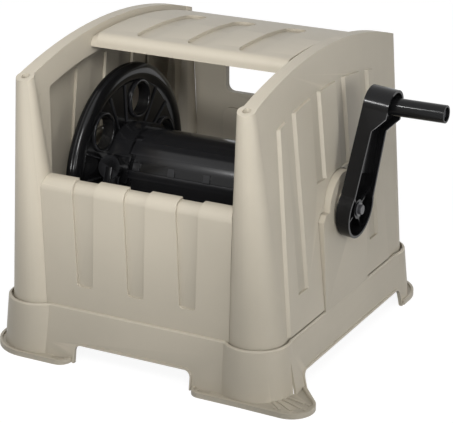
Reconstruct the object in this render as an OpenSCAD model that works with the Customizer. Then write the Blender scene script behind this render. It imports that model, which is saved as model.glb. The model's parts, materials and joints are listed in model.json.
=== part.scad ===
// Garden hose reel box: a moulded housing with an arched open front stands on four flared feet
// and carries a reel that turns on two bearing pylons. A crank on the right turns it.
// Millimetres, Z up, X towards the crank, Y towards the rear.
// The origin is on the ground under the middle of the housing.

/* [Housing] */
// Width across the side panels at the seam with the base
body_w = 460; // [440:1:520]
// Depth across the front and rear panels
body_d = 484; // [460:1:560]
// Height of the seam where the panels stand in the base
seam_z = 83; // [70:1:100]
// Height of the arch's crown
crown_z = 474; // [465:1:540]
// Radius of the arch along each side panel
arch_r = 802; // [600:1:1400]
// Inward lean of the side panels in degrees
side_lean = 5.4; // [4:0.1:6]
// Wall thickness of the housing mouldings
wall = 4; // [3:0.1:5]
// Height of the axle
axle_z = 226; // [222:1:240]

/* [Corner posts] */
// Radius of a corner post at the seam
post_foot_r = 44; // [40:0.5:46]
// Radius of a corner post at its top
post_head_r = 14; // [12:0.5:18]
// How far the posts stand proud of the front panel
post_proud = 11; // [8:0.5:14]

/* [Side panel relief] */
// Height of the raised field above the border
relief = 4.5; // [3:0.5:5]
// Height of the smooth band under the arch
rim_band = 57; // [48:1:70]
// Width of a groove's floor
groove_w = 24; // [18:1:30]
// Distance of the inner grooves from the middle of the field
groove_in_y = 43; // [38:1:48]
// Height where the outer grooves end
groove_end_z = 139; // [120:1:200]
// Distance of the rim's inner face from the panel's outer face at the seam
rim_set = 56; // [50:1:58]
// Depth of the rim's inner plate below the arch
rim_depth = 40; // [30:1:50]

/* [Base] */
// How far the base stands proud of the side panels at the seam
base_step = 6; // [5:0.5:9]
// Outward flare of the side skirts down to the ground
side_flare = 17; // [8:0.5:20]
// Outward flare of the front and rear skirts down to the ground
end_flare = 13; // [8:0.5:20]
// Radius of a foot's flange
foot_r = 69; // [64:0.5:74]
// Thickness of a foot's flange
foot_t = 5; // [4:0.5:8]
// Height of the cut-outs between the feet
cut_z = 29; // [15:1:40]
// Distance of the front and rear cut-outs from the side panels
end_foot_w = 130; // [115:1:150]
// Distance of the side cut-outs from the front and rear panels
side_foot_w = 64; // [62:1:90]
// Radius of the step plate at the front right foot
step_r = 36; // [28:0.5:40]

/* [Pylons] */
// Width of a bearing pylon
pylon_w = 154; // [146:1:160]
// Radius of a pylon's round head
pylon_head_r = 57; // [52:0.5:62]
// Height of a pylon's shoulders
pylon_shoulder_z = 234; // [226:1:240]
// Inward lean of a pylon in degrees
pylon_lean = 2.5; // [2:0.1:3]
// Depth of a pylon's box section
pylon_depth = 22; // [18:0.5:26]

/* [Front panel] */
// Height of the front panel's top edge
front_top_z = 285; // [240:1:320]
// Radius of the front panel's rolled top
front_round = 20; // [17:0.5:24]
// Depth of the flutes in the front panel
front_flute_d = 4; // [3:0.5:6]
// Width of the flutes at their foot
flute_foot_w = 27; // [22:1:32]
// Width of the flutes at their top
flute_head_w = 38; // [30:1:42]
// Distance between flutes
flute_pitch = 88; // [70:1:95]

/* [Rear panel] */
// Distance of the rear window from the side panels
window_side = 132; // [120:1:150]
// Height of the rear window's sill
window_z = 302; // [280:1:330]

/* [Top cover] */
// Drop of the cover below the arch
cover_drop = 7; // [5:0.5:10]
// Front edge of the cover, from the middle
cover_front_y = 72; // [40:1:120]
// Radius of the cover's rolled front
cover_round = 14; // [10:0.5:18]
// Height of the cover's front lip
cover_lip = 21; // [17:0.5:30]
// Depth of the flutes in the cover
cover_flute_d = 5; // [3:0.5:6]
// Width of the flutes in the cover
cover_flute_w = 36; // [24:1:44]

/* [Reel] */
// Room between a disc's inner face and the side panel's foot
reel_room = 78; // [76:1:86]
// Room between a disc and the front panel
disc_room = 70; // [70:1:80]
// Depth of a disc from its inner face to the back of its rim
disc_depth = 16; // [12:0.5:18]
// Thickness of a disc's web
disc_t = 4; // [3:0.5:5]
// Radius of the drum
drum_r = 73; // [68:0.5:75]
// Wall of the drum
drum_t = 3.5; // [3:0.1:4.5]
// Radius of the toothed collars
collar_r = 79; // [78:0.5:82]
// Width of the toothed collars
collar_w = 36; // [34:0.5:44]
// Angle of the drum's seam and its outlet above the horizontal
seam_angle = 20; // [0:1:30]

/* [Shaft and water] */
// Radius of the bearing journals
shaft_r = 17; // [16.8:0.1:18]
// Radius of the bearing bushes
bush_r = 20; // [19.5:0.1:22]
// Radius of the threaded hose ends
thread_r = 13.4; // [13:0.1:14]
// Radius of the water passage
water_r = 7; // [5:0.1:7.5]

/* [Crank] */
// Angle of the crank behind the vertical in degrees
crank_angle = 15; // [0:1:360]
// Outward tilt of the arm in degrees
arm_tilt = 5.3; // [4.5:0.1:7]
// Distance from the axle to the grip
crank_l = 161.5; // [140:0.5:165]
// Depth of the arm's channel
arm_d = 23; // [20:0.5:28]
// Half width of the arm at the axle
arm_foot_r = 38.5; // [34:0.5:41]
// Half width of the arm at the grip
arm_head_r = 30; // [26:0.5:33]
// Radius of the round hub at the axle
crank_hub_r = 43; // [42:0.5:48]
// Radius of the grip
grip_r = 13.75; // [12:0.25:17]
// Length of the grip
grip_l = 92; // [60:1:110]

/* [Hidden] */
$fn = 96;

// Overrun of the cuts
over = 1;
// Gap between housing pieces that meet along a curve
part_gap = 0.4;
// Radial clearance of a running fit, and of a fixed fit
run_fit = 0.05;
seat_fit = 0.05;
// Clearance between reel pieces that nest
nest_gap = 0.25;

// Base details
lap = 8;
shoulder = 2;
ledge_t = 4;
ledge_side_w = 22;
ledge_end_w = 18;
corner_step = 8;
corner_flare = 8;
wing_gap = 6;
wing_round = 18;
foot_lip_w = 4;
foot_lip_h = 8;
cut_round = 10;
cut_lip_w = 3;
cut_lip_out = 2;
pad_in = 21;
pad_l = 22;
pad_r = 5.5;
pad_d = 1.5;
step_x = 73;
step_y = 35;
dot_r = 2.6;
dot_h = 1.4;
dot_ring_r = 26;
dot_from_angle = -25;
dot_step_angle = 39;
dots = 5;
step_rib_w = 5;
step_rib_h = 1.4;
step_rib_inset = 9;

// Pylon details
pylon_wall = 5;
pylon_gap = 1.5;
pylon_chamfer = 9;
pylon_sink = 10;
boss_r = 33;
boss_l = 25;
face_gap = 0.3;
gusset_t = 3.5;

// Side panel details
post_bulge = 1;
field_foot_margin = 58;
field_head_margin = 80;
field_y = -14;
field_gap = 3;
groove_margin = 34;
post_hole_r = 6.5;
post_hole_d = 12;
rim_open_margin = 52;

// Front and rear panel details
front_rear_lip = 10;
front_land = 4;
flute_low_z = 120;
flute_round = 5;
rear_flute_d = 5;
rear_flute_margin = 32;
window_top_margin = 40;
window_round = 12;
window_lip = 8;

// Cover details
cover_ledge_w = 11;
cover_ledge_drop = 6;
cover_flange = 14;
cover_flute_front = 14;
cover_flute_margin = 117;
cover_steps = 30;
cover_round_angle = 105;

// Reel details
rim_r = 8;
rim_t = 3;
hole_wall = 3;
hole_ring = 2;
holes = 6;
hole_room = 11.5;
hole_in = 3.5;
hole_phase = 17;
hub_r = 40;
hub_in_r = 36;
disc_rib_t = 3;
disc_rib_drop = 1.5;
disc_ring = 8;
disc_ring_t = 4;
collar_t = 3.5;
collar_cap = 3;
collar_sleeve_l = 18;
collar_sleeve_t = 3;
tooth_l = 10;
tooth_w = 13;
teeth = 12;
tooth_gap = 0.4;
tab_w = 12;
tab_h = 13;
tab_proud = 2;
tab_end = 28;
tabs = 4;

// Water path details
tube_wall = 2.2;
tube_gap = 0.3;
spigot_r = 10;
spigot_in = 52;
seal_r = 1.5;
seal_sink = 1;
seal_pitch = 12;
seal_from = 10;
branch_r = 12;
branch_bore_r = 8;
branch_in = 20;
branch_out = 94;
tube_end = 17;
inlet_plate_t = 5;
inlet_hex_r = 18;
inlet_hex_l = 13;
inlet_thread_l = 18;
screw_at_r = 26;
screw_r = 2;
screw_l = 12;
screw_head_r = 4.5;
screw_head_h = 3;
outlet_r = 19;
outlet_drop = 34;
outlet_cap = 6;
outlet_thread_l = 18;
saddle_w = 46;
saddle_h = 44;
saddle_t = 4;
bush_flange_r = 26;
bush_flange_t = 3;

// Crank details
crank_gap = 1.5;
arm_wall = 4;
arm_web = 4;
hub_floor = 4;
hub_floor_to = 52;
arm_floor = 11;
arm_floor_from = 56;
arm_back_from = 66;
head_from = 124;
head_to = 146;
head_d = 41;
head_bulge = 0.8;
cup_floor = 28;
cup_boss = 2;
cup_boss_r = 16;
crank_boss_r = 15;
crank_boss_l = 18;
drive_side = 16;
drive_gap = 0.15;
drive_l = 15;
drive_disc_r = 35.5;
drive_disc_t = 6;
arm_rib_t = 2.6;
arm_rib_d = 16;
washer_r = 11;
washer_t = 2;
crank_screw_r = 4;
crank_screw_l = 16;
crank_screw_head_r = 7.5;
crank_screw_head_h = 5;
spindle_r = 6;
spindle_head_r = 9;
spindle_head_h = 4;
grip_end_d = 9;
grip_end_r = 10.5;
grip_clear = 0.6;
nut_r = 9;
nut_h = 6;
nut_recess_r = 12;

// Places that follow from the sizes above
base_half_w = body_w / 2 + base_step;
base_half_d = body_d / 2 + base_step - shoulder;
ledge_z = seam_z - lap;
corner_rim_r = post_foot_r + corner_step;
corner_x = body_w / 2 + post_bulge - post_foot_r;
corner_y = body_d / 2 + post_proud - post_foot_r;
post_top_z = arch_z(body_d / 2, 0);
panel_l = (crown_z - seam_z) / cos(side_lean) + wall;
pylon_face_x = base_half_w - (axle_z - seam_z) * tan(pylon_lean);
boss_end_x = pylon_face_x + boss_r * tan(pylon_lean) + face_gap;
boss_in_x = boss_end_x - boss_l;
crank_back_x = boss_end_x + crank_gap;
rim_in_x = body_w / 2 - rim_set;
field_foot_y = body_d / 2 - field_foot_margin;
field_head_y = body_d / 2 - field_head_margin;
field_lean = atan((field_foot_y - field_head_y) / panel_l);
groove_out_y = field_head_y - groove_margin;
disc_x = body_w / 2 - reel_room;
disc_r = body_d / 2 - disc_room;
hole_r = (disc_r - 2 * rim_r - collar_r) / 2 - hole_room;
hole_at_r = (disc_r - 2 * rim_r + collar_r) / 2 - hole_in;
branch_x = disc_x - branch_in;
collar_end_x = disc_x - collar_w;
tab_start = tooth_l + tab_w / 2 + over;
tab_pitch = (2 * collar_end_x - tab_start - tab_end) / (tabs - 1);
head_x = crank_l * tan(arm_tilt);
grip_start = head_x + cup_floor + cup_boss + grip_clear;
nut_seat = head_x + nut_h + wall;
drum_in_r = drum_r - drum_t;
seal_at_r = spigot_r + seal_r - seal_sink;
tube_bore_r = seal_at_r + seal_r + run_fit;
tube_r = tube_bore_r + tube_wall;
spigot_end_x = boss_end_x - spigot_in;
tube_start_x = boss_end_x - wall;
flute_places = [-flute_pitch, 0, flute_pitch];
step_at = [corner_x + step_x, corner_y + step_y];
end_cut_w = body_w - 2 * end_foot_w;
side_cut_w = body_d - 2 * side_foot_w;
wing_x = end_cut_w / 2 + wing_gap;
wing_y = side_cut_w / 2 + wing_gap;
pad_x = wing_x + pad_in;

body_colour = [0.69, 0.66, 0.59];
black = [0.08, 0.08, 0.09];
metal = [0.72, 0.73, 0.74];
brass = [0.78, 0.62, 0.30];

function arch_z(y, drop) = crown_z - arch_r + sqrt(pow(arch_r - drop, 2) - y * y);
function wall_x(z) = body_w / 2 - (z - seam_z) * tan(side_lean);
function post_share(z) = (z - seam_z) / (post_top_z - seam_z);
function post_r(z) = post_foot_r + (post_head_r - post_foot_r) * post_share(z);
function post_x(z) = wall_x(z) + post_bulge - post_r(z);
function post_y(z) = body_d / 2 + post_proud - post_r(z);
function post_at(z) = [post_x(z), post_y(z), z];
function skirt_x(z) = base_half_w + side_flare * (1 - z / seam_z);
function skirt_y(z) = base_half_d + end_flare * (1 - z / seam_z);
function corner_r(z) = corner_rim_r + corner_flare * (1 - z / seam_z);
function arc(c, r, a0, a1, n) = [for (i = [0:n]) let (a = a0 + (a1 - a0) * i / n)
    c + r * [cos(a), sin(a)]];
// Outline of an upright slot with round lower corners, which widens from its foot up to z1
function slot(x, w0, w1, z0, z1, r) = concat([[x + w1 / 2, z1], [x - w1 / 2, z1]],
    arc([x - w0 / 2 + r, z0 + r], r, 180, 270, 6), arc([x + w0 / 2 - r, z0 + r], r, 270, 360, 6));
// Rectangle with rounded corners
function round_rect(x0, x1, z0, z1, r) = concat(
    arc([x1 - r, z1 - r], r, 0, 90, 6), arc([x0 + r, z1 - r], r, 90, 180, 6),
    arc([x0 + r, z0 + r], r, 180, 270, 6), arc([x1 - r, z0 + r], r, 270, 360, 6));
// Point where a line from e touches a circle, on the side given by s
function touch(e, c, r, s) = let (d = c - e, l = norm(d), a = s * asin(r / l), t = sqrt(l * l - r * r) / l)
    e + t * [d[0] * cos(a) - d[1] * sin(a), d[0] * sin(a) + d[1] * cos(a)];

// Shape in (y, z) drawn out along X
module along_x(x0, x1) {
    translate([x0, 0, 0]) rotate([90, 0, 90]) linear_extrude(x1 - x0) children();
}

// Shape in (x, z) drawn out along Y
module along_y(y0, y1) {
    translate([0, y1, 0]) rotate([90, 0, 0]) linear_extrude(y1 - y0) children();
}

// Cylinder or cone along X about the axle
module axle_cyl(x0, x1, r, r_end = undef) {
    translate([x0, 0, axle_z]) rotate([0, 90, 0])
        cylinder(h = x1 - x0, r1 = r, r2 = is_undef(r_end) ? r : r_end);
}

module axle_tube(x0, x1, r, bore) {
    difference() {
        axle_cyl(x0, x1, r);
        axle_cyl(x0 - over, x1 + over, bore);
    }
}

module cone_between(p0, p1, r0, r1) {
    d = p1 - p0;
    h = norm(d);
    translate(p0) rotate([0, acos(d[2] / h), atan2(d[1], d[0])]) cylinder(h = h, r1 = r0, r2 = r1);
}

module both_ends() {
    children();
    mirror([0, 1, 0]) children();
}

module left_side() {
    mirror([1, 0, 0]) children();
}

// Everything under the arch, dropped by a depth, from a low height up
module arch_body(drop, z0, x0, x1) {
    along_x(x0, x1) intersection() {
        translate([0, crown_z - arch_r]) circle(arch_r - drop, $fn = 240);
        translate([-body_d, z0]) square([body_d * 2, crown_z]);
    }
}

// Post grown by a gap, between two heights
module post(z0, z1, grow) {
    cone_between(post_at(z0), post_at(z1), post_r(z0) + grow, post_r(z1) + grow);
}

module all_posts(z0, z1, grow) {
    both_ends() {
        post(z0, z1, grow);
        left_side() post(z0, z1, grow);
    }
}

// Side panels
// Frame on the right panel's outer plane: x out of the wall, z up the wall
module wall_frame() {
    translate([body_w / 2, 0, seam_z]) rotate([0, -side_lean, 0]) children();
}

module wall_plate(x0, x1) {
    wall_frame() along_x(x0, x1) children();
}

module panel_outline() {
    polygon([[-post_y(ledge_z - over), -lap - over], [post_y(ledge_z - over), -lap - over],
        [post_y(crown_z), panel_l], [-post_y(crown_z), panel_l]]);
}

module field_outline(g) {
    foot = field_foot_y + g;
    head = field_head_y + g;
    polygon([[field_y - foot, 0], [field_y + foot, 0], [field_y + head, panel_l], [field_y - head, panel_l]]);
}

// Slope of the field's side down to the border, drawn at the field's middle and leaning with its edge
module field_edge() {
    far = relief + over;
    wall_frame() translate([0, field_y + field_foot_y, 0]) rotate([field_lean, 0, 0])
        translate([0, 0, -lap]) linear_extrude(panel_l * 2)
            polygon([[-wall, wall], [far, -far], [far, field_foot_margin], [-wall, field_foot_margin]]);
}

module groove(y, z0) {
    far = relief + over;
    wall_frame() translate([0, field_y + y, z0 - seam_z]) linear_extrude(panel_l)
        polygon([[-wall, wall - groove_w / 2], [far, -far - groove_w / 2],
            [far, far + groove_w / 2], [-wall, groove_w / 2 - wall]]);
}

// Field that stands proud of the border, with its grooves
module raised_field() {
    difference() {
        intersection() {
            wall_plate(-wall / 2, relief) field_outline(wall);
            arch_body(rim_band, seam_z + field_gap, 0, body_w);
        }
        field_edge();
        translate([0, 2 * field_y, 0]) mirror([0, 1, 0]) field_edge();
        for (s = [-1, 1]) {
            groove(s * groove_out_y, groove_end_z);
            groove(s * groove_in_y, axle_z + pylon_head_r);
        }
    }
}

module pylon_outline(g) {
    w = pylon_w / 2 + g;
    top = pylon_shoulder_z + g;
    translate([0, axle_z]) circle(pylon_head_r + g);
    polygon([[-w, 0], [w, 0], [w, top - pylon_chamfer], [w - pylon_chamfer, top],
        [-w + pylon_chamfer, top], [-w, top - pylon_chamfer]]);
}

// Bar behind a groove that is left standing in the field's hollow
module groove_back(y, z0) {
    w = groove_w + 2 * (relief + wall);
    wall_plate(-wall - 2 * over, relief)
        translate([field_y + y - w / 2, z0 - seam_z - wall]) square([w, panel_l]);
}

module field_hollow() {
    difference() {
        intersection() {
            wall_plate(-wall - over, relief - wall) field_outline(-relief - wall);
            arch_body(rim_band + wall, seam_z + field_gap + wall, 0, body_w);
        }
        for (s = [-1, 1]) {
            groove_back(s * groove_out_y, groove_end_z);
            groove_back(s * groove_in_y, axle_z + pylon_head_r);
        }
        along_x(0, body_w) pylon_outline(pylon_gap + wall);
    }
}

module side_skin() {
    difference() {
        union() {
            wall_plate(-wall, 0) panel_outline();
            raised_field();
        }
        field_hollow();
    }
}

module rim_channel() {
    intersection() {
        wall_plate(-body_w / 2, 0) panel_outline();
        difference() {
            arch_body(0, ledge_z, rim_in_x, body_w);
            arch_body(wall, 0, rim_in_x + wall, body_w + over);
            intersection() {
                arch_body(rim_depth, 0, 0, rim_in_x + wall + over);
                translate([0, rim_open_margin - body_d / 2, 0])
                    cube([body_w, body_d - 2 * rim_open_margin, crown_z]);
            }
        }
    }
}

module side_panel() {
    difference() {
        intersection() {
            union() {
                side_skin();
                rim_channel();
                both_ends() post(ledge_z - lap, crown_z, 0);
            }
            arch_body(0, ledge_z, 0, body_w);
        }
        both_ends() {
            post(ledge_z - 2 * lap, post_top_z - post_hole_d - 2 * wall, -wall);
            translate([post_x(post_top_z), post_y(post_top_z), post_top_z - post_hole_d])
                cylinder(h = post_hole_d + crown_z, r = post_hole_r);
        }
        along_x(0, body_w) pylon_outline(pylon_gap);
    }
}

module right_side_panel() {
    color(body_colour) side_panel();
}

module left_side_panel() {
    color(body_colour) left_side() side_panel();
}

// Base
// A slice of the base between two heights, inset from its outer faces
module base_layer(z0, z1, in0, in1) {
    for (sx = [-1, 1], sy = [-1, 1])
        translate([sx * corner_x, sy * corner_y, z0])
            cylinder(h = z1 - z0, r1 = corner_r(z0) - in0, r2 = corner_r(z1) - in1);
    along_y(-corner_y, corner_y)
        polygon([[-skirt_x(z0) + in0, z0], [skirt_x(z0) - in0, z0],
            [skirt_x(z1) - in1, z1], [-skirt_x(z1) + in1, z1]]);
    along_x(-corner_x, corner_x)
        polygon([[-skirt_y(z0) + in0, z0], [skirt_y(z0) - in0, z0],
            [skirt_y(z1) - in1, z1], [-skirt_y(z1) + in1, z1]]);
}

module cut_shape(w, g) {
    polygon(round_rect(-w / 2 - g, w / 2 + g, -cut_z, cut_z + g, cut_round + g));
}

module skirt_cuts(g) {
    along_y(-body_w, body_w) cut_shape(end_cut_w, g);
    along_x(-body_w, body_w) cut_shape(side_cut_w, g);
}

// Rolled lips that stand proud round the cut-outs
module cut_lips() {
    difference() {
        intersection() {
            base_layer(0, cut_z + 2 * cut_lip_w, -cut_lip_out, -cut_lip_out);
            skirt_cuts(cut_lip_w);
        }
        base_layer(-over, seam_z, wall / 2, wall / 2);
        skirt_cuts(0);
    }
}

// Outline of one foot's flange in the quarter with positive x and y, grown by g
function foot_points(g, round_points) = concat(
    [[corner_x, corner_y], [wing_x - g, base_half_d]],
    arc([wing_x + wing_round, corner_y + foot_r - wing_round], wing_round + g, 180, 90, 6), round_points,
    [[corner_x + foot_r + g, wing_y - g], [base_half_w, wing_y - g]]);

function plain_points(g) = foot_points(g, arc([corner_x, corner_y], foot_r + g, 90, 0, 18));

// The same outline with the round step plate in place of the round corner
function step_points(g) = let (
        back = touch([corner_x + foot_r + g, wing_y - g], step_at, step_r + g, -1) - step_at,
        front = touch([corner_x, corner_y + foot_r + g], step_at, step_r + g, 1) - step_at)
    foot_points(g, concat([[corner_x, corner_y + foot_r + g]],
        arc(step_at, step_r + g, atan2(front[1], front[0]), atan2(back[1], back[0]), 24)));

module foot(with_step) {
    linear_extrude(foot_t) polygon(with_step ? step_points(0) : plain_points(0));
    linear_extrude(foot_lip_h) difference() {
        polygon(with_step ? step_points(0) : plain_points(0));
        polygon(with_step ? step_points(-foot_lip_w) : plain_points(-foot_lip_w));
    }
}

// Grip dots on the step plate, and ribs that run out to them from the corner
module step_grip() {
    rib_from = corner_r(foot_t) - wall / 2;
    for (i = [0:dots - 1]) {
        a = dot_from_angle + i * dot_step_angle;
        p = step_at + dot_ring_r * [cos(a), sin(a)];
        d = p - [corner_x, corner_y];
        translate([p[0], p[1], foot_t - over]) cylinder(h = dot_h + over, r = dot_r);
        if (i < dots - 1)
            translate([corner_x, corner_y, 0]) rotate([0, 0, atan2(d[1], d[0])])
                translate([rib_from, -step_rib_w / 2, foot_t - over])
                    cube([norm(d) - step_rib_inset - rib_from, step_rib_w, step_rib_h + over]);
    }
}

module feet() {
    difference() {
        for (sx = [0, 1], sy = [0, 1]) mirror([sx, 0, 0]) mirror([0, sy, 0]) foot(sx == 0 && sy == 1);
        base_layer(-over, foot_lip_h + over, wall / 2, wall / 2);
        // Oval pads pressed into the front and rear wings
        for (sx = [-1, 1], sy = [-1, 1])
            translate([sx * pad_x, sy * (corner_y + foot_r - foot_lip_w - 2 * pad_r), foot_t - pad_d])
                linear_extrude(foot_lip_h)
                    polygon(round_rect(-pad_l / 2, pad_l / 2, -pad_r, pad_r, pad_r));
    }
    mirror([0, 1, 0]) step_grip();
}

module base_ledge() {
    difference() {
        base_layer(ledge_z - ledge_t, ledge_z, wall / 2, wall / 2);
        translate([-body_w / 2 + ledge_side_w, -body_d / 2 + ledge_end_w, 0])
            cube([body_w - 2 * ledge_side_w, body_d - 2 * ledge_end_w, seam_z]);
    }
}

module pylon_slab(x0, x1) {
    translate([base_half_w, 0, seam_z]) rotate([0, -pylon_lean, 0])
        translate([x0, -pylon_w, -seam_z]) cube([x1 - x0, pylon_w * 2, crown_z]);
}

module pylon() {
    intersection() {
        translate([0, -pylon_w, ledge_z - pylon_sink]) cube([body_w, pylon_w * 2, crown_z]);
        union() {
            difference() {
                intersection() {
                    along_x(0, body_w) pylon_outline(0);
                    pylon_slab(-pylon_depth, 0);
                }
                intersection() {
                    along_x(0, body_w) pylon_outline(-pylon_wall);
                    pylon_slab(-pylon_depth - over, -pylon_wall);
                }
            }
            intersection() {
                along_x(0, body_w) pylon_outline(-pylon_wall / 2);
                pylon_slab(-pylon_depth, -pylon_wall / 2);
                union() {
                    for (a = [-45, 45])
                        translate([0, 0, axle_z]) rotate([a, 0, 0])
                            translate([0, -gusset_t / 2, -axle_z]) cube([body_w, gusset_t, axle_z * 2]);
                    translate([0, -gusset_t / 2, 0]) cube([body_w, gusset_t, axle_z]);
                }
            }
        }
    }
    axle_cyl(boss_in_x, boss_end_x, boss_r);
}

module base_frame() {
    color(body_colour) difference() {
        union() {
            difference() {
                union() {
                    base_layer(0, seam_z - shoulder, 0, 0);
                    base_layer(seam_z - shoulder, seam_z, 0, shoulder);
                }
                base_layer(-over, seam_z + over, wall, wall);
                skirt_cuts(0);
            }
            base_ledge();
            cut_lips();
            feet();
            pylon();
            left_side() pylon();
        }
        axle_cyl(-body_w, body_w, bush_r + seat_fit);
        for (s = [-1, 1])
            translate([0, s * screw_at_r, 0])
                axle_cyl(-boss_end_x - over, -boss_end_x + screw_l + over, screw_r + seat_fit);
    }
}

// Front panel: (y, z) shape behind the front face, inset by k, with its rolled top edge
module front_shape(k) {
    y0 = -body_d / 2;
    polygon(concat(arc([y0 + front_round, front_top_z - front_round], front_round - k, 180, 90, 8),
        [[y0 + front_round + front_land + (k > 0 ? over : 0), front_top_z - k],
            [y0 + front_round + front_land + (k > 0 ? over : 0), ledge_z - (k > 0 ? over : 0)],
            [y0 + k, ledge_z - (k > 0 ? over : 0)]]));
}

module front_flutes(g, k) {
    difference() {
        along_y(-body_d, 0)
            for (x = flute_places)
                polygon(slot(x, flute_foot_w + 2 * g, flute_head_w + 2 * g, flute_low_z - g,
                    front_top_z + over, flute_round + g));
        along_x(-body_w, body_w) front_shape(k);
    }
}

module front_panel() {
    y0 = -body_d / 2;
    color(body_colour) difference() {
        along_x(-corner_x, corner_x) front_shape(0);
        front_flutes(0, front_flute_d);
        difference() {
            along_x(-corner_x - over, corner_x + over) front_shape(wall);
            front_flutes(wall, front_flute_d + wall);
            translate([-corner_x, y0 + front_round, front_top_z - front_rear_lip])
                cube([2 * corner_x, front_land, front_rear_lip - front_flute_d]);
        }
        all_posts(ledge_z - lap, crown_z, part_gap);
    }
}

// Rear panel
module window_shape(g) {
    w = body_w / 2 - window_side + g;
    polygon(round_rect(-w, w, window_z - g,
        arch_z(body_d / 2, cover_drop) - window_top_margin + g, window_round + g));
}

module rear_flutes(g) {
    for (x = flute_places)
        polygon(round_rect(x - flute_foot_w / 2 - g, x + flute_foot_w / 2 + g, flute_low_z - g,
            window_z - rear_flute_margin + g, flute_foot_w / 2 + g));
}

module rear_panel() {
    y1 = body_d / 2;
    color(body_colour) difference() {
        intersection() {
            union() {
                along_y(y1 - wall, y1)
                    translate([-corner_x, ledge_z]) square([2 * corner_x, crown_z]);
                along_y(y1 - wall - rear_flute_d, y1) rear_flutes(wall);
                along_y(y1 - wall - window_lip, y1) window_shape(wall);
            }
            arch_body(cover_drop + wall + cover_ledge_drop + part_gap, ledge_z, -body_w, body_w);
        }
        along_y(y1 - rear_flute_d, y1 + over) rear_flutes(0);
        along_y(0, y1 + over) window_shape(0);
        all_posts(ledge_z - lap, crown_z, part_gap);
    }
}

// Top cover: (y, z) shape under the cover's face, inset by k
module cover_shape(k, drop, y1) {
    y0 = -cover_front_y;
    r = cover_round;
    top = arch_z(y0 + r, drop);
    polygon(concat([[y1, 0], [y0 + k, 0]], arc([y0 + r, top - r], r - k, 180, cover_round_angle, 6),
        [for (i = [0:cover_steps]) let (y = y0 + r + (y1 - y0 - r) * i / cover_steps)
            [y, arch_z(y, drop + k)]]));
}

module cover_flutes(k) {
    y0 = -cover_front_y + cover_flute_front;
    difference() {
        linear_extrude(crown_z)
            for (x = flute_places)
                polygon(round_rect(x - cover_flute_w / 2 - k, x + cover_flute_w / 2 + k,
                    y0 - k, body_d / 2 - cover_flute_margin + k, cover_flute_w / 2 + k));
        along_x(-body_w, body_w) cover_shape(k, cover_drop + cover_flute_d, body_d);
    }
}

module top_cover() {
    half = rim_in_x - part_gap;
    main = half - cover_ledge_w;
    y1 = body_d / 2;
    low_z = arch_z(-cover_front_y + cover_round, cover_drop) - cover_lip;
    color(body_colour) difference() {
        union() {
            along_x(-main, main) cover_shape(0, cover_drop, y1);
            along_x(-half, half) cover_shape(0, cover_drop + cover_ledge_drop, y1);
        }
        cover_flutes(0);
        // Hollow below, which leaves the front lip and the side flanges
        difference() {
            union() {
                along_x(-main + wall, main - wall) cover_shape(wall, cover_drop, y1 + over);
                along_x(-half + wall, half - wall)
                    cover_shape(wall, cover_drop + cover_ledge_drop, y1 + over);
            }
            cover_flutes(wall);
        }
        // Lower edges of the lip and the side flanges
        arch_body(cover_drop + cover_ledge_drop + cover_flange, -over, -body_w, body_w);
        translate([-body_w, -body_d, 0]) cube([2 * body_w, body_d - cover_front_y + cover_round, low_z]);
        // Room for the rear posts and the rear panel
        all_posts(ledge_z - lap, crown_z, part_gap);
        intersection() {
            arch_body(cover_drop + cover_ledge_drop + wall, 0, -body_w, body_w);
            translate([-body_w, y1 - wall - part_gap, 0]) cube([2 * body_w, body_d, crown_z]);
        }
    }
}

// Bearing bushes
module bushing() {
    difference() {
        union() {
            axle_cyl(boss_in_x, boss_end_x, bush_r);
            axle_cyl(boss_in_x - bush_flange_t, boss_in_x, bush_flange_r);
        }
        axle_cyl(0, body_w, shaft_r + run_fit);
    }
}

module right_bushing() {
    color(black) bushing();
}

module left_bushing() {
    color(black) left_side() bushing();
}

// Water inlet, drawn on the right and mirrored to the left
module inlet_body() {
    hex_x = boss_end_x + inlet_plate_t;
    difference() {
        union() {
            axle_cyl(boss_end_x, hex_x, boss_r);
            axle_cyl(hex_x, hex_x + inlet_hex_l, inlet_hex_r, inlet_hex_r);
            axle_cyl(hex_x + inlet_hex_l, hex_x + inlet_hex_l + inlet_thread_l, thread_r);
            axle_cyl(spigot_end_x, boss_end_x, spigot_r);
        }
        axle_cyl(0, body_w, water_r);
        for (i = [0, 1]) seal_place(i) rotate_extrude() translate([seal_at_r, 0]) circle(seal_r + seat_fit);
        for (s = [-1, 1]) translate([0, s * screw_at_r, 0]) axle_cyl(0, body_w, screw_r + seat_fit);
    }
}

module seal_place(i) {
    translate([spigot_end_x + seal_from + i * seal_pitch, 0, axle_z]) rotate([0, 90, 0]) children();
}

module inlet_fitting() {
    color(brass) left_side() inlet_body();
}

module seal(i) {
    seal_place(i) rotate_extrude() translate([seal_at_r, 0]) circle(seal_r);
}

module inlet_seal_outer() {
    color(black) left_side() seal(1);
}

module inlet_seal_inner() {
    color(black) left_side() seal(0);
}

module inlet_screw(s) {
    x0 = boss_end_x + inlet_plate_t;
    translate([0, s * screw_at_r, 0]) {
        axle_cyl(x0, x0 + screw_head_h, screw_head_r);
        axle_cyl(boss_end_x - screw_l, x0 + over, screw_r);
    }
}

module inlet_screw_front() {
    color(metal) left_side() inlet_screw(-1);
}

module inlet_screw_rear() {
    color(metal) left_side() inlet_screw(1);
}

// Reel discs: revolved about the axle, z outward from the inner face
module disc_frame() {
    translate([disc_x, 0, axle_z]) rotate([0, 90, 0]) children();
}

module hole_places() {
    for (i = [0:holes - 1])
        rotate([0, 0, 180 - hole_phase + i * 360 / holes]) translate([hole_at_r, 0, 0]) children();
}

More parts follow.
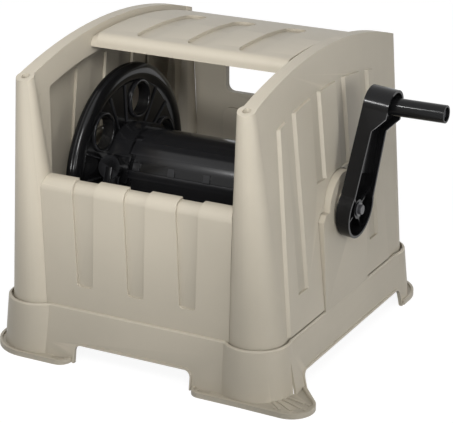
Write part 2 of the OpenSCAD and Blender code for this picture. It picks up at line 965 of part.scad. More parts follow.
module disc_body() {
    difference() {
        union() {
            rotate_extrude() {
                square([disc_r - rim_r, disc_t]);
                difference() {
                    translate([disc_r - rim_r, rim_r]) circle(rim_r);
                    translate([disc_r - rim_r, rim_r]) circle(rim_r - rim_t);
                    translate([disc_r - 2 * rim_r, rim_r]) square([rim_r, rim_r]);
                }
                translate([hub_in_r, 0]) square([hub_r - hub_in_r, disc_depth]);
                translate([collar_r - collar_t - nest_gap - disc_ring_t, -disc_ring])
                    square([disc_ring_t, disc_ring + disc_t]);
            }
            for (i = [0:holes - 1])
                rotate([0, 0, 180 - hole_phase + (i + 0.5) * 360 / holes])
                    translate([hub_in_r + wall / 2, -disc_rib_t / 2, 0])
                        cube([disc_r - 2 * rim_r - hub_in_r, disc_rib_t, disc_depth - disc_rib_drop]);
            hole_places() translate([0, 0, -hole_ring])
                cylinder(h = disc_depth + hole_ring, r = hole_r + hole_wall);
        }
        hole_places() translate([0, 0, -disc_depth]) cylinder(h = disc_depth * 3, r = hole_r);
    }
}

module reel_right_flange() {
    color(black) disc_frame() disc_body();
}

module reel_left_flange() {
    journal_x = pylon_face_x - disc_x;
    color(black) left_side() disc_frame() difference() {
        union() {
            disc_body();
            cylinder(h = journal_x, r = shaft_r);
            translate([0, 0, disc_t - over])
                cylinder(h = disc_depth, r1 = hub_in_r - wall, r2 = shaft_r - run_fit);
        }
        translate([0, 0, -disc_depth]) cylinder(h = journal_x + 2 * disc_depth, r = tube_r + tube_gap);
    }
}

// Toothed collars
module tooth_places(x0, x1, w) {
    for (i = [0:teeth - 1])
        translate([0, 0, axle_z]) rotate([90 - seam_angle + (i + 0.5) * 360 / teeth, 0, 0])
            translate([x0, -w / 2, drum_in_r - drum_t]) cube([x1 - x0, w, 2 * drum_t + collar_r - drum_r]);
}

module collar() {
    axle_tube(collar_end_x, disc_x, collar_r, collar_r - collar_t);
    axle_tube(collar_end_x, collar_end_x + collar_cap, collar_r, drum_in_r - nest_gap - collar_sleeve_t);
    axle_tube(collar_end_x - collar_sleeve_l, collar_end_x + over, drum_in_r - nest_gap,
        drum_in_r - nest_gap - collar_sleeve_t);
    intersection() {
        axle_tube(collar_end_x - tooth_l + tooth_gap, collar_end_x + over, drum_r,
            drum_in_r - nest_gap - collar_sleeve_t);
        tooth_places(collar_end_x - tooth_l, collar_end_x + over, tooth_w - 2 * tooth_gap);
    }
}

module drum_collar_right() {
    color(black) collar();
}

module drum_collar_left() {
    color(black) difference() {
        left_side() collar();
        outlet_frame() cylinder(h = disc_r, r = branch_r + tube_gap);
    }
}

// Drum halves, parted by a plane through the axle
module drum_shell() {
    difference() {
        axle_tube(-collar_end_x, collar_end_x, drum_r, drum_in_r);
        tooth_places(collar_end_x - tooth_l, collar_end_x + over, tooth_w);
        left_side() tooth_places(collar_end_x - tooth_l, collar_end_x + over, tooth_w);
    }
}

module seam_side(s) {
    translate([0, 0, axle_z]) rotate([-seam_angle, 0, 0])
        translate([-body_w, -disc_r, s > 0 ? 0 : -disc_r]) cube([body_w * 2, disc_r * 2, disc_r]);
}

module snap_tabs() {
    for (i = [0:tabs - 1])
        translate([tab_start - collar_end_x + i * tab_pitch, 0, axle_z]) rotate([-seam_angle, 0, 0])
            translate([-tab_w / 2, -drum_r - tab_proud, 0]) cube([tab_w, 2 * drum_t, tab_h]);
}

module drum_upper_half() {
    color(black) {
        intersection() {
            drum_shell();
            seam_side(1);
        }
        difference() {
            snap_tabs();
            axle_cyl(-body_w, body_w, drum_in_r);
        }
    }
}

module drum_lower_half() {
    color(black) intersection() {
        drum_shell();
        seam_side(-1);
    }
}

// Water tube inside the drum and the outlet elbow on its front
module outlet_frame() {
    translate([-branch_x, 0, axle_z]) rotate([90 - seam_angle, 0, 0]) children();
}

module water_tube() {
    tube_tip_x = branch_x - tube_end;
    color(black) difference() {
        union() {
            axle_cyl(-tube_start_x, -tube_tip_x, tube_r);
            outlet_frame() cylinder(h = branch_out, r = branch_r);
        }
        axle_cyl(-tube_start_x - over, -tube_tip_x - wall, tube_bore_r);
        outlet_frame() cylinder(h = branch_out + over, r = branch_bore_r);
    }
}

module hose_outlet() {
    color(black) difference() {
        union() {
            outlet_frame() {
                translate([0, 0, collar_r + nest_gap])
                    cylinder(h = branch_out + outlet_cap - collar_r, r = outlet_r);
                translate([0, 0, branch_out - branch_bore_r]) rotate([90, 0, 0]) {
                    cylinder(h = outlet_drop, r = thread_r + wall / 2);
                    cylinder(h = outlet_drop + outlet_thread_l, r = thread_r);
                }
            }
            intersection() {
                axle_tube(-disc_x, collar_end_x, collar_r + saddle_t, collar_r + nest_gap);
                outlet_frame() translate([-saddle_w / 2, -saddle_h / 2, 0])
                    cube([saddle_w, saddle_h, disc_r]);
            }
        }
        axle_cyl(-disc_x, disc_x, collar_r + nest_gap);
        outlet_frame() {
            cylinder(h = branch_out + seat_fit, r = branch_r + seat_fit);
            translate([0, 0, branch_out - branch_bore_r]) rotate([90, 0, 0])
                cylinder(h = outlet_drop + outlet_thread_l + over, r = branch_bore_r);
        }
    }
}

// Drive shaft on the right disc
module drive_shaft() {
    color(black) difference() {
        union() {
            axle_cyl(disc_x + disc_t, disc_x + disc_t + drive_disc_t, drive_disc_r);
            axle_cyl(disc_x + disc_t, crank_back_x, shaft_r);
            translate([crank_back_x - over, 0, axle_z]) rotate([-crank_angle, 0, 0])
                translate([0, -drive_side / 2, -drive_side / 2])
                    cube([drive_l + over, drive_side, drive_side]);
        }
        axle_cyl(crank_back_x + drive_l - crank_screw_l, body_w, crank_screw_r + seat_fit);
    }
}

// Crank: x away from the housing, z along the arm
module crank_frame() {
    translate([crank_back_x, 0, axle_z]) rotate([-crank_angle, 0, 0]) children();
}

module arm_outline(g) {
    head_w = arm_head_r - head_bulge + g;
    circle(crank_hub_r + g);
    translate([0, crank_l]) circle(arm_head_r + g);
    polygon([[arm_foot_r + g, 0], [head_w, crank_l], [-head_w, crank_l], [-arm_foot_r - g, 0]]);
}

module arm_block(g) {
    rotate([0, arm_tilt, 0]) along_x(-arm_d, head_d + over) arm_outline(g);
}

// Side view of the arm's body, or of what is cut from it
module arm_side(points) {
    rotate([0, arm_tilt, 0]) along_y(-crank_hub_r * 2, crank_hub_r * 2) polygon(points);
}

module arm_body() {
    low = -crank_hub_r * 2;
    high = crank_l * 2;
    difference() {
        intersection() {
            arm_block(0);
            arm_side([[0, low], [arm_d, low], [arm_d, head_from], [head_d, head_to],
                [head_d, high], [0, high]]);
            translate([0, -crank_l, -crank_l]) cube([crank_l, crank_l * 2, crank_l * 3]);
        }
        // Channel that is open outwards: deep at the hub, with a step out to the cup at the head
        intersection() {
            arm_block(-arm_wall);
            arm_side([[head_d * 2, low], [hub_floor, low], [hub_floor, hub_floor_to],
                [arm_floor, arm_floor_from], [arm_floor, head_from], [cup_floor, head_to],
                [cup_floor, high], [head_d * 2, high]]);
        }
        // Hollow behind the channel and the cup
        intersection() {
            arm_block(-arm_wall);
            arm_side([[-arm_d, arm_back_from], [arm_floor - arm_web, arm_back_from],
                [arm_floor - arm_web, head_from], [cup_floor - arm_web, head_to],
                [cup_floor - arm_web, high], [-arm_d, high]]);
        }
    }
}

module hub_ribs() {
    intersection() {
        arm_block(-arm_wall / 2);
        rotate([0, arm_tilt, 0]) for (a = [45, -45])
            rotate([a, 0, 0]) translate([hub_floor - over, -arm_rib_t / 2, -hub_floor_to])
                cube([arm_rib_d - hub_floor + over, arm_rib_t, 2 * hub_floor_to]);
    }
}

module crank_arm() {
    color(black) crank_frame() difference() {
        union() {
            arm_body();
            hub_ribs();
            rotate([0, 90, 0]) cylinder(h = crank_boss_l, r = crank_boss_r);
            // Boss for the grip's pin
            translate([head_x, 0, crank_l]) rotate([0, 90, 0])
                cylinder(h = cup_floor + cup_boss, r = cup_boss_r);
        }
        translate([-over, -drive_side / 2 - drive_gap, -drive_side / 2 - drive_gap])
            cube([crank_boss_l + 2 * over, drive_side + 2 * drive_gap, drive_side + 2 * drive_gap]);
        // Way for the grip's pin, with a recess for its nut at the back
        translate([0, 0, crank_l]) rotate([0, 90, 0]) {
            cylinder(h = crank_l, r = spindle_r + seat_fit);
            cylinder(h = nut_seat, r = nut_recess_r);
        }
    }
}

module crank_washer() {
    color(metal) crank_frame() rotate([0, 90, 0]) translate([0, 0, crank_boss_l]) difference() {
        cylinder(h = washer_t, r = washer_r);
        translate([0, 0, -over]) cylinder(h = washer_t + 2 * over, r = crank_screw_r + seat_fit);
    }
}

module crank_screw() {
    x0 = crank_boss_l + washer_t;
    color(metal) crank_frame() rotate([0, 90, 0]) {
        translate([0, 0, x0]) cylinder(h = crank_screw_head_h, r = crank_screw_head_r);
        translate([0, 0, drive_l - crank_screw_l + over])
            cylinder(h = x0 - drive_l + crank_screw_l, r = crank_screw_r);
    }
}

// Grip and its pin
module grip_frame() {
    crank_frame() translate([0, 0, crank_l]) rotate([0, 90, 0]) children();
}

module grip_spindle() {
    pin_start = nut_seat - nut_h;
    head_start = grip_start + grip_l - grip_end_d + grip_clear;
    color(metal) grip_frame() {
        translate([0, 0, pin_start]) cylinder(h = head_start - pin_start + over, r = spindle_r);
        translate([0, 0, head_start]) cylinder(h = spindle_head_h, r = spindle_head_r);
    }
}

module spindle_nut() {
    color(metal) grip_frame() difference() {
        translate([0, 0, nut_seat - nut_h]) cylinder(h = nut_h, r = nut_r, $fn = 6);
        translate([0, 0, nut_seat - nut_h - over]) cylinder(h = nut_h + 2 * over, r = spindle_r + seat_fit);
    }
}

module crank_grip() {
    color(black) grip_frame() translate([0, 0, grip_start]) difference() {
        cylinder(h = grip_l, r = grip_r);
        translate([0, 0, -over]) cylinder(h = grip_l + 2 * over, r = spindle_r + run_fit);
        translate([0, 0, grip_l - grip_end_d]) cylinder(h = grip_end_d + over, r = grip_end_r);
    }
}

base_frame();
left_side_panel();
right_side_panel();
front_panel();
rear_panel();
top_cover();
left_bushing();
right_bushing();
inlet_fitting();
inlet_seal_outer();
inlet_seal_inner();
inlet_screw_front();
inlet_screw_rear();
reel_left_flange();
reel_right_flange();
drum_collar_left();
drum_collar_right();
drum_upper_half();
drum_lower_half();
water_tube();
hose_outlet();
drive_shaft();
crank_arm();
crank_washer();
crank_screw();
grip_spindle();
spindle_nut();
crank_grip();
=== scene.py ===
# %% [markdown]
# # A garden hose reel box
# The box is a moulded housing on four flared feet. A black reel turns inside it, and a crank
# on the right turns the reel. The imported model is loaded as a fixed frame, so every solid is
# already in its place, in metres. This lesson gives the solids their mould radii, their small
# parts and their finishes, and then lights and frames them.

# %% Load the frame
import json
import math
import bmesh
import bpy
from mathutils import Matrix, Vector


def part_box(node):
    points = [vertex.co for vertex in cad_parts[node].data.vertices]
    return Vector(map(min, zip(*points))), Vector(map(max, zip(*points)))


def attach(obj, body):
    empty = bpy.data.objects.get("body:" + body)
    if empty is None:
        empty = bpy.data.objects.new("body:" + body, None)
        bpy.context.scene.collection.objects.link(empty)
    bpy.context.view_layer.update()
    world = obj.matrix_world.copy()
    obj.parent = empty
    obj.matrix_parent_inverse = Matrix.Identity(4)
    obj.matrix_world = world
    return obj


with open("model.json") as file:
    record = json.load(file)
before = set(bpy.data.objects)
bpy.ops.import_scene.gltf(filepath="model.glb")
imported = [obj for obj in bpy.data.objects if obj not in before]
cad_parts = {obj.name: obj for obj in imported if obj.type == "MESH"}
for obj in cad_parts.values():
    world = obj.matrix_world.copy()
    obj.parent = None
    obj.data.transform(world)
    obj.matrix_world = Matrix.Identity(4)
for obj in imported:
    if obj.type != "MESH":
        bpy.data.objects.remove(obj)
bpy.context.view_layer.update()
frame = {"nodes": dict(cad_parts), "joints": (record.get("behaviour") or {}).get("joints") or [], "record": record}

nodes = frame["nodes"]
scene = bpy.context.scene

# %% [markdown]
# ## The camera
# A product picture of this kind is taken from a little above, with a long lens, so that
# upright edges stay nearly parallel. The camera looks at a point in front of the reel. Its
# angle, distance and lens are written as plain numbers, because they can be changed by hand
# more easily than a matrix.

# %% Place the camera
camera_turn = math.radians(27.97)
camera_rise = math.radians(20.31)
camera_reach = 2.7686
camera_target = Vector((0.1104, -0.1612, 0.2505))
camera_lens = 149.56
camera_sensor = 36

camera_data = bpy.data.cameras.new("camera")
camera_data.lens = camera_lens
camera_data.sensor_width = camera_sensor
camera_data.sensor_fit = "HORIZONTAL"
camera = bpy.data.objects.new("camera", camera_data)
scene.collection.objects.link(camera)
flat_reach = camera_reach * math.cos(camera_rise)
camera.location = camera_target + Vector((
    flat_reach * math.sin(camera_turn),
    -flat_reach * math.cos(camera_turn),
    camera_reach * math.sin(camera_rise)))
camera.rotation_euler = (math.pi / 2 - camera_rise, 0, camera_turn)
scene.camera = camera
print("camera at", [round(v, 3) for v in camera.location])

# %% [markdown]
# ## Moulded plastic
# A moulded part has a fine grain from the sparked steel of its mould, and a faint unevenness
# of colour from the pigment. On top of that its edges get a painted highlight, a lighter colour
# where light would catch them, and its creases get painted shade, a darker colour where shade
# would fall. A flat colour would show none of this, and a painted picture would need unwrapping,
# so each finish is a small node tree: noise makes pigment and grain, and the bend of the surface
# finds the edges for the painted highlight and the creases for the painted shade.

# %% Start a finish
def new_finish(name):
    finish = bpy.data.materials.new(name)
    finish.use_nodes = True
    tree = finish.node_tree
    shader = tree.nodes["Principled BSDF"]
    place = tree.nodes.new("ShaderNodeTexCoord")
    return finish, tree, shader, place.outputs["Object"]


# %% Colour helpers
white, black = (1, 1, 1), (0, 0, 0)


def shade(colour, factor):
    return tuple(c * factor for c in colour)


def add_noise(tree, place, scale, detail):
    noise = tree.nodes.new("ShaderNodeTexNoise")
    noise.inputs["Scale"].default_value = scale
    noise.inputs["Detail"].default_value = detail
    tree.links.new(place, noise.inputs["Vector"])
    return noise.outputs["Fac"]


def add_ramp(tree, source, stops):
    ramp = tree.nodes.new("ShaderNodeValToRGB")
    for point, (at, colour) in zip(ramp.color_ramp.elements, stops):
        point.position = at
        point.color = (*colour, 1)
    tree.links.new(source, ramp.inputs["Fac"])
    return ramp.outputs["Color"]


def add_tint(tree, mask, tone, colour):
    tint = tree.nodes.new("ShaderNodeMix")
    tint.data_type = "RGBA"
    tree.links.new(mask, tint.inputs["Factor"])
    tree.links.new(tone, tint.inputs["A"])
    tint.inputs["B"].default_value = (*colour, 1)
    return tint.outputs["Result"]


# %% Surface helpers
def add_roughness(tree, shader, source, rough):
    level = tree.nodes.new("ShaderNodeMapRange")
    level.inputs["To Min"].default_value = rough[0]
    level.inputs["To Max"].default_value = rough[1]
    tree.links.new(source, level.inputs["Value"])
    tree.links.new(level.outputs["Result"], shader.inputs["Roughness"])


def add_grain(tree, shader, height, strength, depth):
    bump = tree.nodes.new("ShaderNodeBump")
    bump.inputs["Strength"].default_value = strength
    bump.inputs["Distance"].default_value = depth
    tree.links.new(height, bump.inputs["Height"])
    tree.links.new(bump.outputs["Normal"], shader.inputs["Normal"])


# %% A moulded plastic
noise_low, noise_high = 0.3, 0.7
pigment_scale, pigment_detail, pigment_drift = 7, 4, 0.05
grain_scale, grain_detail, grain_depth = 900, 2, 0.0004
# Range of the bend of the surface where edges get the painted highlight
edge_start, edge_full = 0.52, 0.6
# Range of the bend of the surface where creases get painted shade, and how dark that painted shade is
crease_full, crease_start = 0.40, 0.485
crease_shade = 0.55


def moulded_plastic(name, colour, rough, grain, edge_highlight, shine=0.5):
    finish, tree, shader, place = new_finish(name)
    shader.inputs["Specular IOR Level"].default_value = shine
    cloud = add_noise(tree, place, pigment_scale, pigment_detail)
    tone = add_ramp(tree, cloud, [(noise_low, shade(colour, 1 - pigment_drift)),
                                  (noise_high, shade(colour, 1 + pigment_drift))])
    bend = tree.nodes.new("ShaderNodeNewGeometry").outputs["Pointiness"]
    # Painted highlight: convex edges, found by the bend of the surface, get a lighter colour where light would
    # catch them
    highlight_mask = add_ramp(tree, bend, [(edge_start, black), (edge_full, white)])
    highlighted = add_tint(tree, highlight_mask, tone, shade(colour, edge_highlight))
    # Painted shade: creases, found by the bend of the surface, get a darker colour where shade would fall
    shade_mask = add_ramp(tree, bend, [(crease_full, white), (crease_start, black)])
    shaded_tone = add_tint(tree, shade_mask, highlighted, shade(colour, crease_shade))
    tree.links.new(shaded_tone, shader.inputs["Base Color"])
    fine = add_noise(tree, place, grain_scale, grain_detail)
    add_roughness(tree, shader, fine, rough)
    add_grain(tree, shader, fine, grain, grain_depth)
    return finish


# %% The plastics of the housing, reel and crank
taupe = (0.440, 0.398, 0.322)
jet = (0.006, 0.006, 0.0065)
# Each finish gets a painted highlight on its edges, set by its edge factor, and painted shade in its creases
housing_plastic = moulded_plastic(
    "housing plastic", taupe, rough=(0.42, 0.58), grain=0.12, edge_highlight=1.12)
reel_plastic = moulded_plastic(
    "reel plastic", jet, rough=(0.12, 0.20), grain=0.008, edge_highlight=4, shine=0.3)
crank_plastic = moulded_plastic(
    "crank plastic", jet, rough=(0.14, 0.22), grain=0.008, edge_highlight=2, shine=0.2)
print("made", [finish.name for finish in (housing_plastic, reel_plastic, crank_plastic)])

# %% The plastics of the bearings and the water path
bearing_grey = (0.03, 0.03, 0.032)
fitting_black = (0.02, 0.02, 0.022)
rubber_black = (0.015, 0.015, 0.015)
# These finishes also get a painted highlight on their edges and painted shade in their creases
bearing_plastic = moulded_plastic(
    "bearing plastic", bearing_grey, rough=(0.4, 0.5), grain=0.05, edge_highlight=1.5)
fitting_plastic = moulded_plastic(
    "fitting plastic", fitting_black, rough=(0.35, 0.45), grain=0.05, edge_highlight=1.8)
seal_rubber = moulded_plastic(
    "seal rubber", rubber_black, rough=(0.6, 0.75), grain=0.2, edge_highlight=1.3)
print("made", [finish.name for finish in (bearing_plastic, fitting_plastic, seal_rubber)])

# %% [markdown]
# ## Steel
# The screws of the inlet are zinc plated, a dull grey metal with small spots where the zinc
# grew unevenly. It is a metal shader whose colour and roughness follow one noise. The crank's
# screw, washer, spindle and nut have a black oxide skin instead. That skin scatters light much
# as a dark plastic does, so the plastic's function makes it.

# %% Zinc-plated steel
spot_scale, spot_detail = 160, 4
zinc_dark, zinc_light = (0.50, 0.51, 0.52), (0.62, 0.63, 0.63)
zinc_rough = (0.25, 0.42)
zinc_grain, zinc_depth = 0.06, 0.0003


def plated_steel(name):
    finish, tree, shader, place = new_finish(name)
    spots = add_noise(tree, place, spot_scale, spot_detail)
    tone = add_ramp(tree, spots, [(noise_low, zinc_dark), (noise_high, zinc_light)])
    tree.links.new(tone, shader.inputs["Base Color"])
    shader.inputs["Metallic"].default_value = 1
    add_roughness(tree, shader, spots, zinc_rough)
    add_grain(tree, shader, spots, zinc_grain, zinc_depth)
    return finish


steel = plated_steel("plated steel")
print("made", steel.name)

# %% Blackened steel
oxide_black = (0.035, 0.035, 0.038)
# The oxide gets the same painted highlight on its edges and painted shade in its creases as the plastics
blackened_steel = moulded_plastic(
    "blackened steel", oxide_black, rough=(0.28, 0.42), grain=0.05, edge_highlight=3)
print("made", blackened_steel.name)

# %% [markdown]
# ## Give the finishes to the nodes
# The record says which finish each node takes. The solids keep their own meshes, so a finish
# only goes into the material slots. The blackened pieces of the crank are named one by one,
# because the record counts them as plain steel.

# %% Finish by node
finish_of_slot = {
    "housing_plastic": housing_plastic, "reel_plastic": reel_plastic, "crank_plastic": crank_plastic,
    "fitting_plastic": fitting_plastic, "bearing_plastic": bearing_plastic, "seal_rubber": seal_rubber,
    "steel": steel}
for part in frame["record"]["subparts"]:
    skin = nodes[part["node"]].data.materials
    skin.clear()
    skin.append(finish_of_slot[part["material_slot"]])
for name in ["crank_screw", "crank_washer", "grip_spindle", "spindle_nut"]:
    nodes[name].data.materials[0] = blackened_steel
print({name: ob.data.materials[0].name for name, ob in nodes.items()})

# %% [markdown]
# ## Mould radii
# No edge of a moulding is sharp. The radii could be drawn in the solids, but thousands of small
# faces would make them slow to build. Here the imported triangles are welded, flat ones are
# merged, and a bevel rounds each edge that is left. Modifiers do this without touching the
# solid's mesh.

# %% Bevel and shading helpers
def add_bevel(ob, radius, segments, from_angle):
    edge = ob.modifiers.new("mould radius", "BEVEL")
    edge.width = radius
    edge.segments = segments
    edge.limit_method = "ANGLE"
    edge.angle_limit = math.radians(from_angle)
    return edge


def even_shading(ob, face_weight):
    shading = ob.modifiers.new("even shading", "WEIGHTED_NORMAL")
    shading.keep_sharp = False
    shading.weight = face_weight


# %% Round the edges of the nodes
weld_gap = 0.00002
flat_angle = 0.5
rounded_from = 28
node_face_weight = 100
housing_radius, housing_segments = 0.0018, 3
small_radius, small_segments = 0.0008, 2
housing_shells = [
    "base_frame", "left_side_panel", "right_side_panel", "front_panel", "rear_panel", "top_cover"]


def round_edges(ob, radius, segments):
    weld = ob.modifiers.new("weld", "WELD")
    weld.merge_threshold = weld_gap
    flat = ob.modifiers.new("flat faces", "DECIMATE")
    flat.decimate_type = "DISSOLVE"
    flat.angle_limit = math.radians(flat_angle)
    edge = add_bevel(ob, radius, segments, rounded_from)
    edge.miter_outer = "MITER_ARC"
    even_shading(ob, node_face_weight)


for name, ob in nodes.items():
    if name in housing_shells:
        round_edges(ob, housing_radius, housing_segments)
    else:
        round_edges(ob, small_radius, small_segments)
print("rounded", len(housing_shells), "shells and", len(nodes) - len(housing_shells), "smaller nodes")

# %% [markdown]
# ## Relief on the reel's discs
# The side of each disc that faces the drum is not plain. A round bead stiffens the rim, a
# raised ring goes round each hole, and pairs of thin ribs run out between the holes. They could
# be cut from one thick disc, but adding them is simpler: the bead is a profile spun about the
# axle, the rings are spun about the holes, and the ribs are small blocks set out by angle. All
# of them reach a little way into the disc, so no gap shows.

# %% Measure the reel
tenth_mm_digits = 4
joints = {joint["name"]: joint for joint in frame["joints"]}
axle = Vector(joints["reel_spin"]["pos_m"])
disc_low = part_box("reel_right_flange")[0]
collar_low, collar_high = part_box("drum_collar_right")
disc_radius = round(axle.z - disc_low.z, tenth_mm_digits)
collar_radius = round(axle.z - collar_low.z, tenth_mm_digits)
disc_face = round(collar_high.x, tenth_mm_digits)
print("disc radius", disc_radius, "face", disc_face, "collar radius", collar_radius)

# %% Profile of the rim bead
sunk = 0.002
bead_width, bead_height, bead_inset = 0.029, 0.006, 0.001
bead_steps, half_crest_steps = 144, 6
bead_middle = disc_radius - bead_inset - bead_width / 2
bead_radius = (bead_width ** 2 / 4 + bead_height ** 2) / (2 * bead_height)
bead_turn = math.asin(bead_width / 2 / bead_radius)
# Each profile point is a radius and a height over the face of the disc
bead_profile = []
for k in range(-half_crest_steps, half_crest_steps + 1):
    lean = bead_turn * k / half_crest_steps
    bead_profile.append((bead_middle + bead_radius * math.sin(lean),
                         bead_height - bead_radius * (1 - math.cos(lean))))
# The tail lies inside the rolled rim and the web: in from the disc's edge, and below its face
rim_tail = [(0.0004, 0.003), (0.0015, 0.008), (0.006, 0.0015)]
for inset, depth in rim_tail:
    bead_profile.append((disc_radius - inset, -depth))
bead_profile.append((bead_middle - bead_width / 2, -sunk))
print("bead profile of", len(bead_profile), "points")

# %% Profile of a ring round a hole
hole_count, hole_phase = 6, math.radians(17)
hole_reach, hole_radius = 0.114, 0.027
ring_width, ring_height, ring_chamfer, ring_overlap = 0.0045, 0.0045, 0.001, 0.0002
ring_steps = 48
ring_in, ring_out = hole_radius - ring_overlap, hole_radius + ring_width
ring_profile = [
    (ring_in, -sunk), (ring_in, ring_height - ring_chamfer), (hole_radius + ring_chamfer, ring_height),
    (ring_out - ring_chamfer, ring_height), (ring_out, ring_height - ring_chamfer), (ring_out, -sunk)]
print("ring profile of", len(ring_profile), "points")


# %% Spin a profile about an axis along X
def spin_profile(builder, centre, inward, profile, steps):
    sections = []
    for i in range(steps):
        turn = 2 * math.pi * i / steps
        sections.append([
            builder.verts.new(centre + Vector((inward * height, r * math.sin(turn), r * math.cos(turn))))
            for r, height in profile])
    for i in range(steps):
        near, far = sections[i], sections[(i + 1) % steps]
        for j in range(len(profile)):
            k = (j + 1) % len(profile)
            builder.faces.new((near[j], near[k], far[k], far[j]))


# %% A rib that runs out from the collar
rib_half, rib_height, rib_turn = 0.0014, 0.003, math.radians(9)
rib_gap = 0.002
rib_start, rib_end = collar_radius + rib_gap, disc_radius - bead_width


def add_rib(builder, face, inward, angle):
    along = Vector((0, math.sin(angle), math.cos(angle)))
    across = Vector((0, along.z, -along.y)) * rib_half
    corners = []
    for height in (-sunk, rib_height):
        for reach, edge in ((rib_start, -1), (rib_end, -1), (rib_end, 1), (rib_start, 1)):
            level = face + Vector((inward * height, 0, 0))
            corners.append(builder.verts.new(level + along * reach + across * edge))
    low, high = corners[:4], corners[4:]
    builder.faces.new(low)
    builder.faces.new(high)
    for i in range(4):
        j = (i + 1) % 4
        builder.faces.new((low[i], low[j], high[j], high[i]))


# %% Turn a built mesh into a piece that rides on a body
def add_piece(name, builder, skin, body):
    bmesh.ops.recalc_face_normals(builder, faces=builder.faces)
    mesh = bpy.data.meshes.new(name)
    builder.to_mesh(mesh)
    builder.free()
    mesh.materials.append(skin)
    piece = bpy.data.objects.new(name, mesh)
    scene.collection.objects.link(piece)
    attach(piece, body)
    print(name, "with", len(mesh.polygons), "faces")
    return piece


# %% Relief of both discs
relief_radius, relief_segments, relief_rounded_from = 0.0006, 2, 50
relief_face_weight = 50


def disc_relief(name, side):
    builder = bmesh.new()
    inward = -side
    face = axle + Vector((side * disc_face, 0, 0))
    spin_profile(builder, face, inward, bead_profile, bead_steps)
    for i in range(hole_count):
        turn = hole_phase - i * 2 * math.pi / hole_count
        hole = face + Vector((0, math.sin(turn), math.cos(turn))) * hole_reach
        spin_profile(builder, hole, inward, ring_profile, ring_steps)
        for lean in (-rib_turn, rib_turn):
            add_rib(builder, face, inward, turn + math.pi / hole_count + lean)
    for patch in builder.faces:
        patch.smooth = True
    relief = add_piece(name, builder, reel_plastic, "reel")
    add_bevel(relief, relief_radius, relief_segments, relief_rounded_from)
    even_shading(relief, relief_face_weight)


disc_relief("left_disc_relief", -1)
disc_relief("right_disc_relief", 1)

# %% [markdown]
# ## Threads
# The inlet and the outlet end in a coarse hose thread. On a moulding it is a low ridge that
# winds along the spigot and fades out at both ends. A screw modifier would leave blunt ends, so
# the ridge is built as a closed strip with a three-cornered section that shrinks at its ends,
# and it rides with the part that carries it.

# %% Wind a ridge along a spigot
thread_pitch, thread_height, thread_half_width = 0.0022, 0.0007, 0.0008
thread_sunk, thread_end_height = 0.0003, 0.0001
steps_per_turn = 36


def thread_ridge(start, axis, radius, length):
    builder = bmesh.new()
    side = axis.orthogonal().normalized()
    up = axis.cross(side)
    half = axis * thread_half_width
    count = int(length / thread_pitch * steps_per_turn)
    sections = []
    for i in range(count + 1):
        angle = 2 * math.pi * i / steps_per_turn
        out = side * math.cos(angle) + up * math.sin(angle)
        middle = start + axis * (length * i / count)
        fade = min(1, i / steps_per_turn, (count - i) / steps_per_turn)
        foot = out * (radius - thread_sunk)
        crest = out * (radius + thread_height * fade + thread_end_height)
        corners = (middle - half + foot, middle + crest, middle + half + foot)
        sections.append([builder.verts.new(corner) for corner in corners])
    for near, far in zip(sections, sections[1:]):
        for j in range(3):
            k = (j + 1) % 3
            builder.faces.new((near[j], near[k], far[k], far[j]))
    builder.faces.new(sections[0])
    builder.faces.new(sections[-1])
    return builder


# %% Both hose threads
mm = 0.001
thread_margin = 4 * mm
mounts = {mount["name"]: mount for mount in frame["record"]["mounts"]}
for name, mount_name, node, body, slot in [
        ("inlet_thread", "water_inlet", "inlet_fitting", "housing", "fitting_plastic"),
        ("outlet_thread", "drum_outlet", "hose_outlet", "reel", "reel_plastic")]:
    mount = mounts[mount_name]
    axis = Vector(mount["axis"]).normalized()
    length = mount["dims"]["length_mm"] * mm - thread_margin
    start = Vector(mount["pos_m"]) - axis * length / 2
    builder = thread_ridge(start, axis, mount["dims"]["r_mm"] * mm, length)
    add_piece(name, builder, nodes[node].data.materials[0], body)

# %% [markdown]
# ## Floor
# The box stands on white paper, as in a studio. A plain white floor would throw so much light
# up that the skirts and feet would look flat. So the lens and the reflections see white paper
# that still takes the shadow of the box, and the box itself gets only a little light back.

# %% Lay the floor
floor_half = 12
floor_corners = [(x * floor_half, y * floor_half, 0) for x, y in ((-1, -1), (1, -1), (1, 1), (-1, 1))]
floor_mesh = bpy.data.meshes.new("floor")
floor_mesh.from_pydata(floor_corners, [], [(0, 1, 2, 3)])
floor = bpy.data.objects.new("floor", floor_mesh)
scene.collection.objects.link(floor)
print("floor of", 2 * floor_half, "m")


# %% What the lens, reflections and clear parts see
def seen_by_lens(tree):
    paths = tree.nodes.new("ShaderNodeLightPath")
    camera_or_gloss = tree.nodes.new("ShaderNodeMath")
    camera_or_gloss.operation = "MAXIMUM"
    tree.links.new(paths.outputs["Is Camera Ray"], camera_or_gloss.inputs[0])
    tree.links.new(paths.outputs["Is Glossy Ray"], camera_or_gloss.inputs[1])
    any_view = tree.nodes.new("ShaderNodeMath")
    any_view.operation = "MAXIMUM"
    tree.links.new(camera_or_gloss.outputs[0], any_view.inputs[0])
    tree.links.new(paths.outputs["Is Transmission Ray"], any_view.inputs[1])
    return any_view.outputs[0]


# %% White paper
paper_bounce, paper_face = 0.12, 0.9
paper_glow, glow_share = 1.17, 0.78


def add_matt(tree, level):
    matt = tree.nodes.new("ShaderNodeBsdfDiffuse")
    matt.inputs["Color"].default_value = (level, level, level, 1)
    return matt.outputs[0]


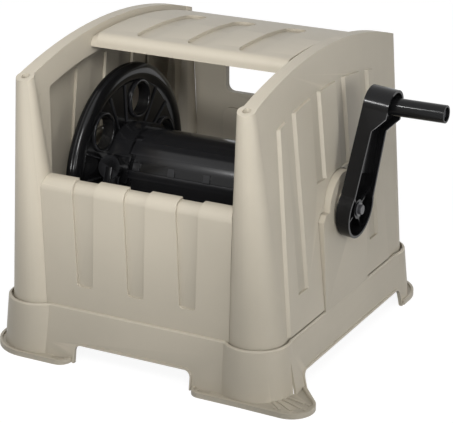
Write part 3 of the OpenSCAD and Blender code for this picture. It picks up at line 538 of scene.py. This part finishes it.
paper = bpy.data.materials.new("white paper")
paper.use_nodes = True
paper_tree = paper.node_tree
paper_tree.nodes.remove(paper_tree.nodes["Principled BSDF"])
glow = paper_tree.nodes.new("ShaderNodeEmission")
glow.inputs["Strength"].default_value = paper_glow
seen_paper = paper_tree.nodes.new("ShaderNodeMixShader")
seen_paper.inputs["Fac"].default_value = glow_share
paper_tree.links.new(add_matt(paper_tree, paper_face), seen_paper.inputs[1])
paper_tree.links.new(glow.outputs[0], seen_paper.inputs[2])
whole_paper = paper_tree.nodes.new("ShaderNodeMixShader")
paper_tree.links.new(seen_by_lens(paper_tree), whole_paper.inputs["Fac"])
paper_tree.links.new(add_matt(paper_tree, paper_bounce), whole_paper.inputs[1])
paper_tree.links.new(seen_paper.outputs[0], whole_paper.inputs[2])
paper_tree.links.new(whole_paper.outputs[0], paper_tree.nodes["Material Output"].inputs["Surface"])
floor_mesh.materials.append(paper)
print("made", paper.name)

# %% [markdown]
# ## Light
# The key lamp stands in front, to the right and above. A low lamp in front reaches under the
# cover to the rear wall. Both shine in a narrow cone, as lamps with a grid do, so the feet stay
# darker than the panels. A wide lamp lights the right side evenly. Black plastic shows its
# shape mostly by highlights, so two small lamps at the left, where the drum and the grip mirror
# them into the lens, draw a line of light along each. The white room fills the shadows.

# %% Lamps
box_middle = (0, 0, 0.25)
open_spread = 180


def soft_lamp(name, turn, rise, reach, size, power, aim=box_middle, spread=open_spread):
    turn, rise = math.radians(turn), math.radians(rise)
    away = Vector((math.cos(rise) * math.sin(turn), -math.cos(rise) * math.cos(turn), math.sin(rise)))
    data = bpy.data.lights.new(name, "AREA")
    data.shape = "DISK"
    data.size = size
    data.energy = power
    data.spread = math.radians(spread)
    lamp = bpy.data.objects.new(name, data)
    lamp.visible_camera = False
    lamp.location = Vector(aim) + away * reach
    lamp.rotation_euler = (-away).to_track_quat("-Z", "Y").to_euler()
    scene.collection.objects.link(lamp)
    print(name, "at", [round(v, 2) for v in lamp.location])


soft_lamp("key lamp", turn=32, rise=32, reach=1.5, size=0.6, power=1.4, aim=(-0.12, 0, 0.36), spread=55)
soft_lamp("low lamp", turn=8, rise=8, reach=1.8, size=0.5, power=0.46, aim=(-0.08, 0, 0.33), spread=30)
soft_lamp("side lamp", turn=72, rise=6, reach=2.2, size=1.0, power=14)
soft_lamp("reel lamp", turn=-29, rise=46, reach=1.6, size=0.06, power=0.13, spread=40)
soft_lamp("grip lamp", turn=-29.6, rise=30, reach=1.6, size=0.06, power=0.1, aim=(0.36, -0.05, 0.4),
          spread=25)

# %% White room
room_fill, room_white = 0.43, 1
world = bpy.data.worlds.new("studio")
world.use_nodes = True
scene.world = world
room_tree = world.node_tree
room = room_tree.nodes["Background"]
room.inputs["Color"].default_value = (*white, 1)
room_level = room_tree.nodes.new("ShaderNodeMapRange")
room_level.inputs["To Min"].default_value = room_fill
room_level.inputs["To Max"].default_value = room_white
room_tree.links.new(seen_by_lens(room_tree), room_level.inputs["Value"])
room_tree.links.new(room_level.outputs["Result"], room.inputs["Strength"])
scene.view_settings.view_transform = "Standard"
print("room fills at", room_fill)
